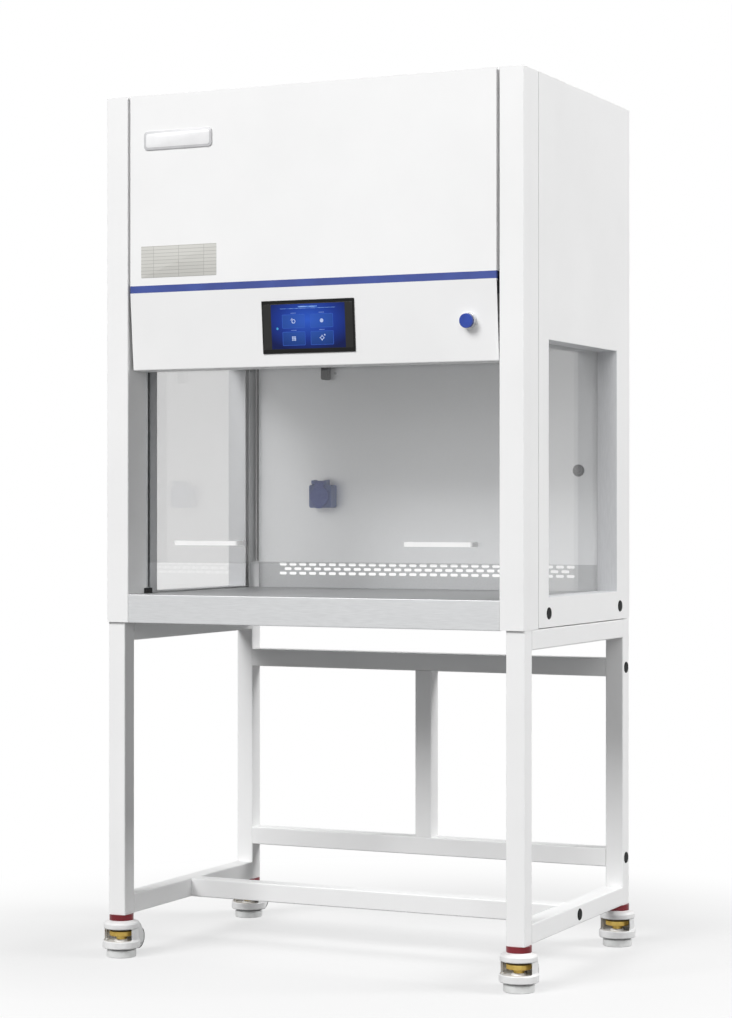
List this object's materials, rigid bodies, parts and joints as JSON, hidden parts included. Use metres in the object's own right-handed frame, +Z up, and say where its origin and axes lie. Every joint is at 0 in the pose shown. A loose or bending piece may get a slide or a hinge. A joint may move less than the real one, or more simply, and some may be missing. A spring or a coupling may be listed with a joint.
{
  "type": "vertical laminar flow cabinet",
  "caption": "Vertical laminar flow cabinet with sliding glass sash, side windows and touch control panel, on an open tubular stand with levelling casters.",
  "frame": {"origin": "middle of the bounding box's footprint, on the floor under the levelling pads", "axes": "+Z up; -Y is the front, which the user faces; +X to the right of someone who faces the front"},
  "size_m": [1.0404, 0.7305, 1.916],
  "materials": {
    "white_paint": "satin",
    "blue_paint": "satin",
    "stainless": "brushed",
    "zinc_sheet": "matte",
    "side_glass": "tinted, clear",
    "sash_glass": "clear",
    "screen": "gloss",
    "silver_ring": "polished",
    "blue_button": "gloss",
    "black_plastic": "matte",
    "dark_plastic": "matte",
    "black_rubber": "matte",
    "anodised": "satin",
    "filter_frame": "matte",
    "filter_pad": "matte",
    "fan_steel": "satin",
    "lamp_tube": "clear",
    "lens": "translucent",
    "socket_grey": "satin",
    "socket_blue": "satin",
    "bolt_steel": "polished",
    "red_collar": "satin",
    "caster_shell": "satin",
    "brass": "satin",
    "caster_tread": "matte",
    "pad_grey": "matte"
  },
  "bodies": {
    "cabinet": {"corner_post_left": "white_paint", "side_panel_left": "white_paint", "side_liner_left": "stainless", "side_window_left": "side_glass", "side_frame_left": "white_paint", "corner_post_right": "white_paint", "side_panel_right": "white_paint", "side_liner_right": "stainless", "side_window_right": "side_glass", "side_frame_right": "white_paint", "front_panel": "white_paint", "blue_stripe": "blue_paint", "control_panel": "white_paint", "touch_screen": "screen", "switch_collar": "silver_ring", "top_cover": "white_paint", "prefilter": "filter_pad", "rear_panel": "white_paint", "rear_inner_wall": "stainless", "perforated_panel": "stainless", "worktop": "stainless", "base_pan": "zinc_sheet", "diffuser": "zinc_sheet", "hepa_filter": "filter_frame", "fan_deck": "zinc_sheet", "fan_motor": "fan_steel", "uv_lamp": "lamp_tube", "lamp_holders": "dark_plastic", "light_strip": "lens", "socket_body": "socket_grey", "port_grommet": "dark_plastic", "power_inlet": "black_plastic", "sash_guides": "anodised", "sash_bumpers": "black_rubber", "rear_frame": "white_paint", "bottom_rail": "white_paint", "access_plugs": "black_plastic", "frame_bolts": "bolt_steel", "caster_collars": "red_collar"},
    "sash": {"sash_glass": "sash_glass", "sash_handles": "stainless"},
    "button": {"power_button": "blue_button"},
    "lid": {"socket_lid": "socket_blue"},
    "fan": {"fan_impeller": "zinc_sheet"},
    "swivel_front_left": {"caster_housing_front_left": "caster_shell"},
    "thumb_front_left": {"thumb_wheel_front_left": "brass"},
    "pad_front_left": {"level_pad_front_left": "pad_grey"},
    "roller_front_left": {"caster_wheel_front_left": "caster_tread"},
    "swivel_front_right": {"caster_housing_front_right": "caster_shell"},
    "thumb_front_right": {"thumb_wheel_front_right": "brass"},
    "pad_front_right": {"level_pad_front_right": "pad_grey"},
    "roller_front_right": {"caster_wheel_front_right": "caster_tread"},
    "swivel_rear_left": {"caster_housing_rear_left": "caster_shell"},
    "thumb_rear_left": {"thumb_wheel_rear_left": "brass"},
    "pad_rear_left": {"level_pad_rear_left": "pad_grey"},
    "roller_rear_left": {"caster_wheel_rear_left": "caster_tread"},
    "swivel_rear_right": {"caster_housing_rear_right": "caster_shell"},
    "thumb_rear_right": {"thumb_wheel_rear_right": "brass"},
    "pad_rear_right": {"level_pad_rear_right": "pad_grey"},
    "roller_rear_right": {"caster_wheel_rear_right": "caster_tread"}
  },
  "joints": [
    {"name": "sash_slide", "type": "slide", "parent": "cabinet", "child": "sash", "axis": [0, 0, 1], "range_m": [-0.0567, 0.37]},
    {"name": "button_press", "type": "slide", "parent": "cabinet", "child": "button", "axis": [0, 0.9966, 0.0819], "range_m": [0, 0.003], "stiffness_N_per_m": 400, "springref_m": -0.004},
    {"name": "lid_hinge", "type": "hinge", "parent": "cabinet", "child": "lid", "pos_m": [-0.257, 0.22745, 1.065], "axis": [-1, 0, 0], "range_deg": [0, 110], "stiffness_Nm_per_rad": 0.02, "springref_deg": -22.92},
    {"name": "fan_spin", "type": "hinge", "parent": "cabinet", "child": "fan", "pos_m": [0, 0.02525, 1.66], "axis": [0, 0, 1], "continuous": true},
    {"name": "swivel_front_left", "type": "hinge", "parent": "cabinet", "child": "swivel_front_left", "pos_m": [-0.4782, -0.32325, 0.075], "axis": [0, 0, 1], "continuous": true},
    {"name": "roll_front_left", "type": "hinge", "parent": "swivel_front_left", "child": "roller_front_left", "pos_m": [-0.4782, -0.26625, 0.034], "axis": [1, 0, 0], "continuous": true},
    {"name": "thumb_front_left", "type": "hinge", "parent": "swivel_front_left", "child": "thumb_front_left", "pos_m": [-0.4782, -0.32325, 0.0525], "axis": [0, 0, 1], "range_deg": [-1800, 720]},
    {"name": "level_front_left", "type": "slide", "parent": "swivel_front_left", "child": "pad_front_left", "axis": [0, 0, 1], "range_m": [-0.004, 0.01]},
    {"name": "swivel_front_right", "type": "hinge", "parent": "cabinet", "child": "swivel_front_right", "pos_m": [0.4782, -0.32325, 0.075], "axis": [0, 0, 1], "continuous": true},
    {"name": "roll_front_right", "type": "hinge", "parent": "swivel_front_right", "child": "roller_front_right", "pos_m": [0.4782, -0.26625, 0.034], "axis": [1, 0, 0], "continuous": true},
    {"name": "thumb_front_right", "type": "hinge", "parent": "swivel_front_right", "child": "thumb_front_right", "pos_m": [0.4782, -0.32325, 0.0525], "axis": [0, 0, 1], "range_deg": [-1800, 720]},
    {"name": "level_front_right", "type": "slide", "parent": "swivel_front_right", "child": "pad_front_right", "axis": [0, 0, 1], "range_m": [-0.004, 0.01]},
    {"name": "swivel_rear_left", "type": "hinge", "parent": "cabinet", "child": "swivel_rear_left", "pos_m": [-0.4782, 0.28325, 0.075], "axis": [0, 0, 1], "continuous": true},
    {"name": "roll_rear_left", "type": "hinge", "parent": "swivel_rear_left", "child": "roller_rear_left", "pos_m": [-0.4782, 0.34025, 0.034], "axis": [1, 0, 0], "continuous": true},
    {"name": "thumb_rear_left", "type": "hinge", "parent": "swivel_rear_left", "child": "thumb_rear_left", "pos_m": [-0.4782, 0.28325, 0.0525], "axis": [0, 0, 1], "range_deg": [-1800, 720]},
    {"name": "level_rear_left", "type": "slide", "parent": "swivel_rear_left", "child": "pad_rear_left", "axis": [0, 0, 1], "range_m": [-0.004, 0.01]},
    {"name": "swivel_rear_right", "type": "hinge", "parent": "cabinet", "child": "swivel_rear_right", "pos_m": [0.4782, 0.28325, 0.075], "axis": [0, 0, 1], "continuous": true},
    {"name": "roll_rear_right", "type": "hinge", "parent": "swivel_rear_right", "child": "roller_rear_right", "pos_m": [0.4782, 0.34025, 0.034], "axis": [1, 0, 0], "continuous": true},
    {"name": "thumb_rear_right", "type": "hinge", "parent": "swivel_rear_right", "child": "thumb_rear_right", "pos_m": [0.4782, 0.28325, 0.0525], "axis": [0, 0, 1], "range_deg": [-1800, 720]},
    {"name": "level_rear_right", "type": "slide", "parent": "swivel_rear_right", "child": "pad_rear_right", "axis": [0, 0, 1], "range_m": [-0.004, 0.01]}
  ],
  "couplings": [
    {"joint": "level_front_left", "follows": "thumb_front_left", "m_per_rad": -0.0003183},
    {"joint": "level_front_right", "follows": "thumb_front_right", "m_per_rad": -0.0003183},
    {"joint": "level_rear_left", "follows": "thumb_rear_left", "m_per_rad": -0.0003183},
    {"joint": "level_rear_right", "follows": "thumb_rear_right", "m_per_rad": -0.0003183}
  ]
}
